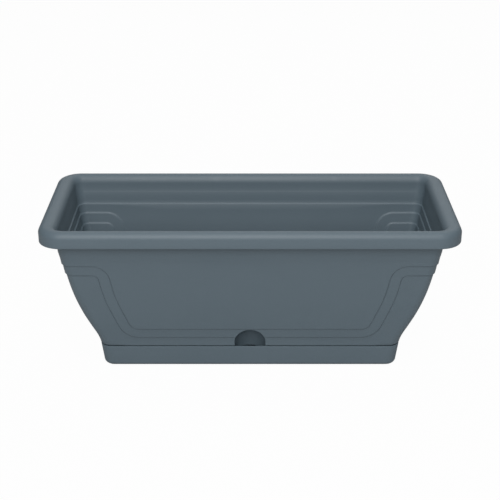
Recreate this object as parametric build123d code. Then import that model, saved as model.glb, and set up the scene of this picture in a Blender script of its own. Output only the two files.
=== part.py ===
"""Self watering trough planter: a tapered trough with a rolled rim, standing in a clip-under water tray.

The trough's floor carries four perforated wicking cups that dip into the tray, each with a felt wick.
Millimetres, +Z up, X along the planter, -Y at the watering port. The origin is the centre of the base.
"""

from build123d import *
import os

# ---------------------------------------------------------------- overall sizes
LENGTH = 500.0  # over the rim
DEPTH = 210.0  # over the rim
HEIGHT = 200.0  # base to the top of the rim

# ---------------------------------------------------------------- trough wall
WALL = 2.4
FLOOR = 2.5
CORNER_R = 14.0  # outer corner of the wall, in plan, at the top band
# The wall's curve: share of the way down the wall, inset of the end walls and inset of the long walls.
# Insets are from the rim's outline to the outermost band, before the steps.
WALL_CURVE = (
    (0.0, 18.3, 12.9),
    (0.132, 19.6, 14.4),
    (0.295, 22.0, 16.9),
    (0.443, 25.9, 20.5),
    (0.590, 31.7, 24.6),
    (0.738, 40.3, 29.2),
    (0.844, 48.2, 32.9),
    (0.921, 54.3, 35.7),
    (0.962, 56.8, 37.1),
    (1.0, 58.3, 38.2),
)
# The wall steps inwards, going down, at each of these depths below the rim top.
STEP_A_DEPTH = 22.4
STEP_B_DEPTH = 38.5
STEP_C_DEPTH = 50.0
STEP_D_DEPTH = 63.5
STEP_A = 0.8
STEP_B = 1.3
STEP_C = 1.3
STEP_D = 1.3
# The centre panel of each long wall: its border is two parallel lines that drop from steps C and D.
PANEL_FOOT_RISE = 25.4  # from the trough's lower edge to the border's upper line along the bottom
PANEL_END_MARGIN = 53.0  # from the end wall's outline to the upper line
PANEL_TOP_R = 20.0  # upper line's turn from step C
PANEL_FOOT_R = 13.0  # upper line's turn into the bottom run
PANEL_SIDE_R = 150.0  # slight bow of the border's sides
BORDER = STEP_D_DEPTH - STEP_C_DEPTH  # width between the two lines
LEDGE_LEAD = 1.2  # how far a ledge inside the trough lies above the same ledge outside

# ---------------------------------------------------------------- rim
RIM_R = 29.0  # outer corner, in plan
LIP = 19.5  # height of the lip
LIP_WALL = 2.4
RIM_TOP = 2.8  # thickness of the rim's top
RIM_OUTER_ROUND = 8.0
RIM_INNER_ROUND = 7.0
RIM_ROLL = 6.0  # how far the thick part behind the inner round reaches out from the wall
RIM_ROLL_DEPTH = 13.0
RIM_ROLL_ROUND = 5.0

# ---------------------------------------------------------------- water tray
TRAY_HEIGHT = 30.0
TRAY_WALL = 2.4
TRAY_FLOOR = 2.5
TRAY_TAPER = 3.4  # the tray's outline is this much smaller at its base, on each side
TRAY_ROUND = 6.5  # round of the outer bottom edge
FOOT_BAND = 8.0  # width of the band that the tray stands on
FOOT_BAND_HEIGHT = 1.5
RIB = 2.0  # ribs across the tray's floor
RIB_HEIGHT = 2.0
SEAM = 0.6  # gap between the trough's edge and the tray's edge

# ---------------------------------------------------------------- what joins the trough to the tray
SKIRT = 2.0  # locating skirt under the trough's floor
SKIRT_HEIGHT = 8.0
SKIRT_CLEARANCE = 0.8
LEG_R = 7.0
LEG_BORE_R = 4.8
LEG_BOTTOM = 2.4
LEG_END_MARGIN = 16.0  # from the trough's lower edge to the outer legs' centres
LEG_SIDE_MARGIN = 18.1
LEG_INNER_X = 45.0

# ---------------------------------------------------------------- watering port
PORT_R = 19.3  # the scoop's radius too
PORT_WALL = 2.2

# ---------------------------------------------------------------- wicking cups
CUP_END_MARGIN = 57.0  # from the trough's lower edge to the outer cups' centres
CUP_PITCH = 70.0
CUP_TOP_R = 22.0
CUP_TAPER = 4.5  # how much narrower the cup is at its bottom
CUP_WALL = 1.6
CUP_LEDGE = 3.5  # how far the flange laps the floor round the hole
CUP_FLANGE = 1.6
CUP_CLEARANCE = 0.5  # round the cup, in the floor's hole
CUP_GROUND_GAP = 3.0  # under the cup
CUP_SLOT = 3.0
CUP_SLOTS = 8
CUP_SLOT_MARGIN = 4.0  # solid band above and below the slots
CUP_DRAIN_R = 1.8
CUP_DRAIN_CIRCLE_R = 11.0

# ---------------------------------------------------------------- wicks
WICK = 1.6  # thickness of the felt
WICK_WIDTH = 16.0
WICK_END_GAP = 13.3  # from the tail's end to the wall's foot
WICK_CLEARANCE = 0.3

# ---------------------------------------------------------------- floor slots
SLOT_LENGTH = 14.0
SLOT_WIDTH = 3.0
SLOT_SIDE_MARGIN = 22.1  # from the trough's lower edge to the row of slots
SLOT_OFFSETS = (-21.0, 23.0, 47.0)  # from the outer cup's centre, inwards

# ---------------------------------------------------------------- derived places
SEAM_Z = TRAY_HEIGHT
TROUGH_BOTTOM_Z = TRAY_HEIGHT + SEAM
WALL_DROP = HEIGHT - TROUGH_BOTTOM_Z
STATIONS = tuple((share * WALL_DROP, end_inset, side_inset) for share, end_inset, side_inset in WALL_CURVE)
PANEL_FOOT_DEPTH = WALL_DROP - PANEL_FOOT_RISE
FLOOR_TOP_Z = TROUGH_BOTTOM_Z + FLOOR
TRAY_FLOOR_Z = FOOT_BAND_HEIGHT + TRAY_FLOOR
STEPS_IN_ALL = STEP_A + STEP_B + STEP_C + STEP_D
SEAM_HALF_LENGTH = LENGTH / 2 - STATIONS[-1][1] - STEPS_IN_ALL
SEAM_HALF_DEPTH = DEPTH / 2 - STATIONS[-1][2] - STEPS_IN_ALL
SEAM_R = CORNER_R - STEPS_IN_ALL
CUP_FLANGE_R = CUP_TOP_R + CUP_CLEARANCE + CUP_LEDGE
CUP_BOTTOM_R = CUP_TOP_R - CUP_TAPER
OUTER_CUP_X = SEAM_HALF_LENGTH - CUP_END_MARGIN
INNER_CUP_X = OUTER_CUP_X - CUP_PITCH
CUP_PLACES = (-OUTER_CUP_X, -INNER_CUP_X, INNER_CUP_X, OUTER_CUP_X)
RIB_X = (OUTER_CUP_X + INNER_CUP_X) / 2
RIB_PLACES = (-RIB_X, 0.0, RIB_X)
OUTER_LEG_X = SEAM_HALF_LENGTH - LEG_END_MARGIN
LEG_Y = SEAM_HALF_DEPTH - LEG_SIDE_MARGIN
LEG_PLACES = tuple(
    (x, y) for x in (-OUTER_LEG_X, -LEG_INNER_X, LEG_INNER_X, OUTER_LEG_X) for y in (-LEG_Y, LEG_Y)
)
SLOT_ROW_Y = SEAM_HALF_DEPTH - SLOT_SIDE_MARGIN
SLOT_ROW = tuple(side * (OUTER_CUP_X - offset) for side in (-1, 1) for offset in SLOT_OFFSETS)
FAR = LENGTH  # longer than anything, for cutting


def outline(half_length, half_depth, radius, z):
    """A rounded rectangle in plan at height z."""
    return Pos(0, 0, z) * RectangleRounded(2 * half_length, 2 * half_depth, radius)


def wall_solid(inset, bottom_z):
    """The trough's tapered body, filled, this far inside the wall's outermost outline."""
    sections = []
    for depth, end_inset, side_inset in STATIONS:
        z = max(HEIGHT - depth, bottom_z)
        sections.append(
            outline(LENGTH / 2 - end_inset - inset, DEPTH / 2 - side_inset - inset, CORNER_R - inset, z)
        )
    return loft(sections)


def above(z):
    """Everything above height z."""
    return Pos(0, 0, z + FAR / 2) * Box(2 * FAR, 2 * FAR, FAR)


def end_inset_at(depth):
    """Inset of the end walls at a depth below the rim top, straight between stations."""
    for (d0, e0, _), (d1, e1, _) in zip(STATIONS, STATIONS[1:]):
        if d0 <= depth <= d1:
            return e0 + (e1 - e0) * (depth - d0) / (d1 - d0)
    return STATIONS[-1][1]


def within_panel(line_offset, drop):
    """What lies inside one line of the panel's border: the band above it and the panel, right through in Y.

    line_offset is the distance outwards from the border's upper line, and drop lowers the whole outline.
    """
    step_in = STEP_A + STEP_B
    ledge = STEP_C_DEPTH + line_offset + drop
    foot = PANEL_FOOT_DEPTH + line_offset + drop
    waist = (ledge + foot) / 2
    margin = PANEL_END_MARGIN - line_offset - step_in - drop

    def side(depth):
        return LENGTH / 2 - end_inset_at(depth) - step_in - margin

    left = [
        (-FAR, HEIGHT - ledge),
        (-side(ledge), HEIGHT - ledge),
        (-side(waist), HEIGHT - waist),
        (-side(foot), HEIGHT - foot),
    ]
    right = [(-x, z) for x, z in reversed(left)]
    radii = [PANEL_TOP_R - line_offset, PANEL_SIDE_R, PANEL_FOOT_R + line_offset]
    border = FilletPolyline(*left, *right, radius=radii + radii[::-1])
    lid = Polyline((FAR, HEIGHT - ledge), (FAR, HEIGHT + FAR), (-FAR, HEIGHT + FAR), (-FAR, HEIGHT - ledge))
    face = make_face([*border.edges(), *lid.edges()])
    return extrude(Plane.XZ * face, amount=FAR, both=True)


def stepped_body(inset, bottom_z, drop):
    """The filled trough with its steps and panels, this far inside the wall's outer face."""
    body = wall_solid(inset + STEPS_IN_ALL, bottom_z)
    body += wall_solid(inset + STEP_A + STEP_B + STEP_C, bottom_z) & within_panel(BORDER, drop)
    body += wall_solid(inset + STEP_A + STEP_B, bottom_z) & within_panel(0.0, drop)
    body += wall_solid(inset + STEP_A, bottom_z) & above(HEIGHT - STEP_B_DEPTH - drop)
    body += wall_solid(inset, bottom_z) & above(HEIGHT - STEP_A_DEPTH - drop)
    return body


def rim_ring():
    """The rolled rim: a lip with a rounded outer edge, hollow underneath, with a rounded mouth."""
    block = extrude(outline(LENGTH / 2, DEPTH / 2, RIM_R, HEIGHT - LIP), amount=LIP)
    block = fillet(block.edges().group_by(Axis.Z)[-1], RIM_OUTER_ROUND)
    under = outline(LENGTH / 2 - LIP_WALL, DEPTH / 2 - LIP_WALL, RIM_R - LIP_WALL, HEIGHT - LIP)
    hollow = extrude(under, amount=LIP - RIM_TOP)
    hollow = fillet(hollow.edges().group_by(Axis.Z)[-1], RIM_OUTER_ROUND - LIP_WALL)
    roll_length = LENGTH / 2 - STATIONS[0][1] + RIM_ROLL
    roll_depth = DEPTH / 2 - STATIONS[0][2] + RIM_ROLL
    roll = outline(roll_length, roll_depth, CORNER_R + RIM_ROLL, HEIGHT - RIM_ROLL_DEPTH)
    roll = extrude(roll, amount=RIM_ROLL_DEPTH - RIM_TOP / 2)
    roll = fillet(roll.edges().group_by(Axis.Z)[0], RIM_ROLL_ROUND)
    return block - hollow + roll


def port_outline(radius):
    """The watering port's arch in the XZ plane, running down past the skirt."""
    spring_z = HEIGHT - PANEL_FOOT_DEPTH - PORT_R
    foot_z = TROUGH_BOTTOM_Z - SKIRT_HEIGHT
    arch = Pos(0, spring_z) * Circle(radius)
    legs = Pos(0, (spring_z + foot_z) / 2) * Rectangle(2 * radius, spring_z - foot_z)
    return arch + legs


def port_scoop(radius):
    """The port's arch through the wall, with a domed half-round scoop behind it, down past the skirt."""
    front = Plane(origin=(0, -SEAM_HALF_DEPTH, 0), x_dir=(1, 0, 0), z_dir=(0, -1, 0))
    arch = extrude(front * port_outline(radius), amount=DEPTH / 2 - SEAM_HALF_DEPTH)
    spring_z = HEIGHT - PANEL_FOOT_DEPTH - PORT_R
    foot_z = TROUGH_BOTTOM_Z - SKIRT_HEIGHT
    dome = Pos(0, -SEAM_HALF_DEPTH, spring_z) * Sphere(radius)
    shaft = Pos(0, -SEAM_HALF_DEPTH, (spring_z + foot_z) / 2) * Cylinder(radius, spring_z - foot_z)
    return arch + dome + shaft


def trough_body():
    """Wall, rim, floor, legs, locating skirt and watering port, moulded as one piece."""
    outer = stepped_body(0.0, TROUGH_BOTTOM_Z, 0.0)
    cavity = stepped_body(WALL, TROUGH_BOTTOM_Z, -LEDGE_LEAD)
    room = cavity & above(FLOOR_TOP_Z)
    body = outer + rim_ring()
    scoop_shell = port_scoop(PORT_R + PORT_WALL)
    pocket = scoop_shell & cavity
    mouth = room.faces().sort_by(Axis.Z)[-1]
    body -= room
    body += pocket & above(TROUGH_BOTTOM_Z)

    skirt_z = TROUGH_BOTTOM_Z - SKIRT_HEIGHT
    tray_lean = TRAY_TAPER * (1 - skirt_z / (SEAM_Z - SEAM))
    skirt_inset = TRAY_WALL + tray_lean + SKIRT_CLEARANCE
    skirt_half_length = SEAM_HALF_LENGTH - skirt_inset
    skirt_half_depth = SEAM_HALF_DEPTH - skirt_inset
    skirt_r = SEAM_R - TRAY_WALL
    inner_r = max(skirt_r - SKIRT, 1.0)
    skirt = extrude(outline(skirt_half_length, skirt_half_depth, skirt_r, skirt_z), amount=SKIRT_HEIGHT)
    chute = skirt & scoop_shell
    skirt -= extrude(
        outline(skirt_half_length - SKIRT, skirt_half_depth - SKIRT, inner_r, skirt_z), amount=SKIRT_HEIGHT
    )
    body += skirt + chute
    body -= port_scoop(PORT_R)

    leg_height = FLOOR_TOP_Z - TRAY_FLOOR_Z
    for x, y in LEG_PLACES:
        body += Pos(x, y, TRAY_FLOOR_Z + leg_height / 2) * Cylinder(LEG_R, leg_height)
    for x, y in LEG_PLACES:
        bore = leg_height - LEG_BOTTOM
        body -= Pos(x, y, FLOOR_TOP_Z - bore / 2) * Cylinder(LEG_BORE_R, bore)
    for x in CUP_PLACES:
        body -= Pos(x, 0, TROUGH_BOTTOM_Z) * Cylinder(CUP_TOP_R + CUP_CLEARANCE, 4 * FLOOR)
    for x in SLOT_ROW:
        for y in (-SLOT_ROW_Y, SLOT_ROW_Y):
            slot = extrude(SlotOverall(SLOT_LENGTH, SLOT_WIDTH), amount=4 * FLOOR)
            body -= Pos(x, y, TROUGH_BOTTOM_Z - FLOOR) * slot
    mouth_edges = [
        e
        for e in body.edges()
        if abs(e.center().Z - HEIGHT) < 0.01
        and abs(e.center().X) <= mouth.bounding_box().max.X + 0.01
        and abs(e.center().Y) <= mouth.bounding_box().max.Y + 0.01
    ]
    return fillet(mouth_edges, RIM_INNER_ROUND)


def water_tray():
    """The reservoir tray: tapered wall, floor, foot band and three low ribs."""
    base_length = SEAM_HALF_LENGTH - TRAY_TAPER
    base_depth = SEAM_HALF_DEPTH - TRAY_TAPER
    tray = loft(
        [
            outline(base_length, base_depth, SEAM_R, 0),
            outline(SEAM_HALF_LENGTH, SEAM_HALF_DEPTH, SEAM_R, SEAM_Z - SEAM),
        ]
    )
    tray = fillet(tray.edges().group_by(Axis.Z)[0], TRAY_ROUND)
    lean = TRAY_TAPER * (1 - TRAY_FLOOR_Z / (SEAM_Z - SEAM))
    inner_length = SEAM_HALF_LENGTH - TRAY_WALL
    inner_depth = SEAM_HALF_DEPTH - TRAY_WALL
    inner_r = SEAM_R - TRAY_WALL
    tray -= loft(
        [
            outline(inner_length - lean, inner_depth - lean, inner_r, TRAY_FLOOR_Z),
            outline(inner_length, inner_depth, inner_r, SEAM_Z - SEAM),
        ]
    )
    recess = TRAY_ROUND + FOOT_BAND
    tray -= extrude(outline(base_length - recess, base_depth - recess, SEAM_R, 0), amount=FOOT_BAND_HEIGHT)
    rib_length = 2 * (SEAM_HALF_DEPTH - TRAY_TAPER - TRAY_WALL)
    for x in RIB_PLACES:
        tray += Pos(x, 0, TRAY_FLOOR_Z + RIB_HEIGHT / 2) * Box(RIB, rib_length, RIB_HEIGHT)
    return tray


def wick_cup(x):
    """One perforated cup that hangs by its flange in the trough's floor and dips into the tray."""
    bottom_z = TRAY_FLOOR_Z + CUP_GROUND_GAP
    height = FLOOR_TOP_Z - bottom_z
    cup = Pos(0, 0, bottom_z + height / 2) * Cone(CUP_BOTTOM_R, CUP_TOP_R, height)
    cup += Pos(0, 0, FLOOR_TOP_Z + CUP_FLANGE / 2) * Cylinder(CUP_FLANGE_R, CUP_FLANGE)
    inside = height + CUP_FLANGE - CUP_WALL
    taper = (CUP_TOP_R - CUP_BOTTOM_R) / height
    cup -= Pos(0, 0, bottom_z + CUP_WALL + inside / 2) * Cone(
        CUP_BOTTOM_R - CUP_WALL + taper * CUP_WALL, CUP_TOP_R - CUP_WALL + taper * CUP_FLANGE, inside
    )
    slot_bottom = bottom_z + CUP_WALL + CUP_SLOT_MARGIN
    slot_top = TROUGH_BOTTOM_Z - CUP_SLOT_MARGIN
    slot = Pos(CUP_TOP_R - CUP_WALL, 0, (slot_bottom + slot_top) / 2) * Box(
        CUP_TOP_R, CUP_SLOT, slot_top - slot_bottom
    )
    for turn in range(CUP_SLOTS):
        cup -= Rot(0, 0, (turn + 0.5) * 360 / CUP_SLOTS) * slot
        drain = Pos(CUP_DRAIN_CIRCLE_R, 0, bottom_z) * Cylinder(CUP_DRAIN_R, 4 * CUP_WALL)
        cup -= Rot(0, 0, turn * 360 / CUP_SLOTS) * drain
    cup -= Pos(0, 0, bottom_z) * Cylinder(CUP_DRAIN_R, 4 * CUP_WALL)
    return Pos(x, 0, 0) * cup


def wick(x):
    """One felt strip, folded into a U in its cup, with a tail laid out each way on the trough's floor."""
    lift = WICK / 2 + WICK_CLEARANCE
    low = TRAY_FLOOR_Z + CUP_GROUND_GAP + CUP_WALL + lift
    over = FLOOR_TOP_Z + CUP_FLANGE + lift
    down = FLOOR_TOP_Z + lift
    foot = CUP_BOTTOM_R - CUP_WALL - 2.4 * WICK
    neck = CUP_TOP_R - CUP_WALL - 2.4 * WICK
    edge = CUP_FLANGE_R + 2 * WICK
    landing = edge + 2 * WICK
    tip = SEAM_HALF_DEPTH - WALL - WICK_END_GAP
    half = [(foot, low), (neck, over), (edge, over), (landing, down), (tip, down)]
    bend = 1.25 * WICK
    path = FilletPolyline(*[(-py, pz) for py, pz in reversed(half)], *half, radius=bend)
    face = trace(path, line_width=WICK)
    return Pos(x, 0, 0) * extrude(Plane.YZ * face, amount=WICK_WIDTH / 2, both=True)


def main():
    """Builds each piece and writes it to its own file."""
    os.makedirs("parts", exist_ok=True)
    export_step(trough_body(), "parts/trough_body.step")
    export_step(water_tray(), "parts/water_tray.step")
    for number, x in enumerate(CUP_PLACES, start=1):
        export_step(wick_cup(x), f"parts/wick_cup_{number}.step")
        export_step(wick(x), f"parts/felt_wick_{number}.step")


main()
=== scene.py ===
"""Self watering trough planter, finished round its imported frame.

A tapered trough with a rolled rim stands in a low water tray. Four perforated cups hang in the
trough's floor, and a felt wick lies in each. Sizes are in millimetres until a mesh is made; meshes
are in metres, +Z up, X along the planter and -Y towards the watering port.
"""

from __future__ import annotations

import logging
import math
from dataclasses import dataclass
from enum import Enum
from typing import Any, Sequence

import bmesh
import bpy
import numpy as np
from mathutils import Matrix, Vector

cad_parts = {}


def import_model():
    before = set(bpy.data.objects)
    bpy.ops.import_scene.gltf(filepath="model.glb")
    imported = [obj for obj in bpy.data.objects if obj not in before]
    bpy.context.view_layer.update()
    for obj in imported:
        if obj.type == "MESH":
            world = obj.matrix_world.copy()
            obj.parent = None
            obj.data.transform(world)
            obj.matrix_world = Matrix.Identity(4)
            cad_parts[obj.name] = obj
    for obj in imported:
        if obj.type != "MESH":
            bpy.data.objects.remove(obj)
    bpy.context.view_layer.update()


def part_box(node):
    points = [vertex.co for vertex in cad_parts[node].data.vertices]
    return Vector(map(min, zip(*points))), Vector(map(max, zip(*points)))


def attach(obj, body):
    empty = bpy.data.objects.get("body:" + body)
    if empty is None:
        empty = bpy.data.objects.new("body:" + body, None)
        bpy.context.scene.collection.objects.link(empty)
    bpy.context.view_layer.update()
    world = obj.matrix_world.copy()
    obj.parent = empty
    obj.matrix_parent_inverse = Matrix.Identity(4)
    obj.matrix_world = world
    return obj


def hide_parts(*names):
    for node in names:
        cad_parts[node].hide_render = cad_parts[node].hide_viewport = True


LOG = logging.getLogger("planter")
MM = 0.001
Colour = tuple[float, float, float]


class Join(Enum):
    """How one solid is combined with another."""

    ADD = "UNION"
    CUT = "DIFFERENCE"
    COMMON = "INTERSECT"


class Body(Enum):
    """The bodies that the pieces ride on."""

    TROUGH = "trough"
    TRAY = "tray"
    CUP = "cup_{number}"


class Value:
    """A node socket that can be used in plain arithmetic."""

    def __init__(self, graph: "Graph", socket: bpy.types.NodeSocket | None) -> None:
        """Wraps an output socket of a node in graph."""
        self.graph = graph
        self.socket = socket

    def maths(self, operation: str, *operands: Any) -> "Value":
        """Adds one Math node.

        Args:
            operation: The Math node's operation.
            operands: Numbers or values, in order.

        Returns:
            The node's result.
        """
        inputs = dict(enumerate(operands))
        return self.graph.node("ShaderNodeMath", {"operation": operation}, inputs)

    def __add__(self, other: Any) -> "Value":
        """Adds."""
        return self.maths("ADD", self, other)

    __radd__ = __add__

    def __sub__(self, other: Any) -> "Value":
        """Subtracts."""
        return self.maths("SUBTRACT", self, other)

    def __rsub__(self, other: Any) -> "Value":
        """Subtracts this from a number."""
        return self.maths("SUBTRACT", other, self)

    def __mul__(self, other: Any) -> "Value":
        """Multiplies."""
        return self.maths("MULTIPLY", self, other)

    __rmul__ = __mul__

    def __truediv__(self, other: Any) -> "Value":
        """Divides."""
        return self.maths("DIVIDE", self, other)

    def floor(self) -> "Value":
        """Rounds down."""
        return self.maths("FLOOR", self)

    def clamp(self) -> "Value":
        """Limits to 0 and 1."""
        return self.maths("MINIMUM", self.maths("MAXIMUM", self, 0.0), 1.0)


class Graph:
    """A node tree, of a material or of a geometry modifier, that nodes are added to."""

    def __init__(self, tree: bpy.types.NodeTree) -> None:
        """Starts on an empty tree."""
        self.tree = tree
        self.tree.nodes.clear()

    def node(
        self,
        kind: str,
        settings: dict[str, Any] | None = None,
        inputs: dict[str | int, Any] | None = None,
        output: str | int = 0,
    ) -> Value:
        """Adds any node.

        Args:
            kind: The node's type.
            settings: Attributes to set first. "stops" sets a ramp's positions and brightnesses.
            inputs: Numbers, colours or values for its sockets, by name or index.
            output: Which of its outputs to return.

        Returns:
            That output.
        """
        made = self.tree.nodes.new(kind)
        for key, setting in (settings or {}).items():
            if key == "stops":
                self._set_stops(made, setting)
            else:
                setattr(made, key, setting)
        for key, given in (inputs or {}).items():
            sockets = [s for s in made.inputs if s.name == key and s.enabled]
            socket = made.inputs[key] if isinstance(key, int) else sockets[0]
            for one in given if isinstance(given, list) else [given]:
                if isinstance(one, Value):
                    self.tree.links.new(one.socket, socket)
                elif isinstance(one, tuple) and len(one) == 3 and socket.type == "RGBA":
                    socket.default_value = (*one, 1.0)
                else:
                    socket.default_value = one
        outputs = [s for s in made.outputs if s.enabled]
        if not outputs:
            return Value(self, None)
        named = [s for s in outputs if s.name == output]
        return Value(self, named[0] if named else outputs[output])

    @staticmethod
    def _set_stops(ramp: bpy.types.Node, stops: Sequence[tuple[float, float]]) -> None:
        """Sets a ramp's grey stops.

        Args:
            ramp: The ramp node.
            stops: Position and brightness of each stop, in order.
        """
        elements = ramp.color_ramp.elements
        while len(elements) < len(stops):
            elements.new(1.0)
        for element, (place, grey) in zip(elements, stops):
            element.position = place
            element.color = (grey, grey, grey, 1.0)


class Finish(Graph):
    """The node graph of one material."""

    def __init__(self, name: str) -> None:
        """Starts a material of that name."""
        self.material = bpy.data.materials.new(name)
        self.material.use_nodes = True
        super().__init__(self.material.node_tree)

    def noise(self, scale: float, detail: float = 3.0, stretch: Sequence[float] = (1, 1, 1)) -> Value:
        """Soft noise from 0 to 1 on the piece's own coordinates.

        Args:
            scale: How many features there are in a metre.
            detail: How many finer layers are added.
            stretch: Scale along each axis.

        Returns:
            The noise.
        """
        place = self.node("ShaderNodeTexCoord", output="Object")
        where = self.node("ShaderNodeMapping", None, {"Vector": place, "Scale": tuple(stretch)})
        sizes = {"Vector": where, "Scale": scale, "Detail": detail, "Roughness": 0.55}
        return self.node("ShaderNodeTexNoise", None, sizes)

    def ramp(self, value: Value, *stops: tuple[float, float]) -> Value:
        """Remaps a value by grey stops."""
        return self.node("ShaderNodeValToRGB", {"stops": stops}, {"Fac": value})

    def mix(self, factor: Any, first: Any, second: Any) -> Value:
        """Blends two colours.

        Args:
            factor: 0 for the first and 1 for the second.
            first: A colour or a value.
            second: A colour or a value.

        Returns:
            The blend.
        """
        return self.node(
            "ShaderNodeMix", {"data_type": "RGBA"}, {"Factor": factor, "A": first, "B": second}, "Result"
        )

    def surface(self, shader: dict[str, Any]) -> bpy.types.Material:
        """Adds the surface shader and the output.

        Args:
            shader: The surface shader's sockets.

        Returns:
            The finished material.
        """
        made = self.node("ShaderNodeBsdfPrincipled", None, shader)
        self.node("ShaderNodeOutputMaterial", None, {"Surface": made})
        return self.material


@dataclass(frozen=True)
class MouldedPlastic:
    """Matt plastic with a fine eroded texture, faint flow clouding, rub marks and painted shade in its grooves."""

    name: str = "moulded_plastic"
    colour: Colour = (0.099, 0.136, 0.162)
    pale: Colour = (0.138, 0.181, 0.212)
    # The groove colour is painted shade: it darkens the thin lines along the wall's ledges, where shade falls.
    groove: Colour = (0.062, 0.088, 0.106)
    roughness: float = 0.50
    grain_per_metre: float = 1300.0
    grain_height: float = 0.00008

    def build(self) -> bpy.types.Material:
        """Makes the material."""
        graph = Finish(self.name)
        cloud = graph.noise(8.0, 3.0)
        flow = graph.noise(26.0, 4.0, (0.35, 1.0, 1.6))
        speckle = graph.noise(self.grain_per_metre * 0.6, 2.0)
        rubbed = graph.ramp(graph.noise(60.0, 5.0, (1.0, 1.0, 0.35)), (0.0, 0.0), (0.62, 0.0), (0.74, 1.0))
        tone = (cloud - 0.5) * 0.30 + (flow - 0.5) * 0.16 + (speckle - 0.5) * 0.30 + rubbed * 0.05
        colour = graph.mix((tone + 0.14).clamp(), self.colour, self.pale)
        # Painted shade: rows that lie in a ledge groove are blended towards the darker groove colour.
        sunk = graph.node("ShaderNodeAttribute", {"attribute_name": "sunk"}, None, "Fac")
        colour = graph.mix(sunk.clamp(), colour, self.groove)
        grain = graph.noise(self.grain_per_metre, 2.5)
        height = {"Height": grain, "Strength": 0.5, "Distance": self.grain_height}
        relief = graph.node("ShaderNodeBump", None, height)
        rough = (cloud - 0.5) * 0.12 + (grain - 0.5) * 0.10 - rubbed * 0.06 + self.roughness
        return graph.surface(
            {"Base Color": colour, "Roughness": rough.clamp(), "Normal": relief, "Specular IOR Level": 0.5}
        )


@dataclass(frozen=True)
class NeedledFelt:
    """Thick off-white felt with tangled fibres."""

    name: str = "needled_felt"
    colour: Colour = (0.62, 0.61, 0.56)
    shade: Colour = (0.40, 0.39, 0.35)

    def build(self) -> bpy.types.Material:
        """Makes the material."""
        graph = Finish(self.name)
        clumps = graph.noise(260.0, 6.0)
        fibres = graph.noise(1400.0, 4.0, (1.0, 0.25, 1.0))
        across = graph.noise(1500.0, 4.0, (0.25, 1.0, 1.0))
        tone = (clumps - 0.5) * 0.8 + (fibres - 0.5) * 0.7 + (across - 0.5) * 0.6 + 0.35
        colour = graph.mix(tone.clamp(), self.colour, self.shade)
        height = {"Height": clumps * 0.5 + fibres * 0.3 + across * 0.3, "Strength": 0.9, "Distance": 0.0006}
        relief = graph.node("ShaderNodeBump", None, height)
        return graph.surface(
            {
                "Base Color": colour,
                "Roughness": (tone * 0.1 + 0.86).clamp(),
                "Normal": relief,
                "Sheen Weight": 0.25,
                "Sheen Roughness": 0.6,
                "Specular IOR Level": 0.15,
            }
        )


@dataclass(frozen=True)
class Lamp:
    """A square soft lamp: where it hangs in metres, its side in metres and its power in watts."""

    name: str
    place: tuple[float, float, float]
    side: float
    power: float


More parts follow.
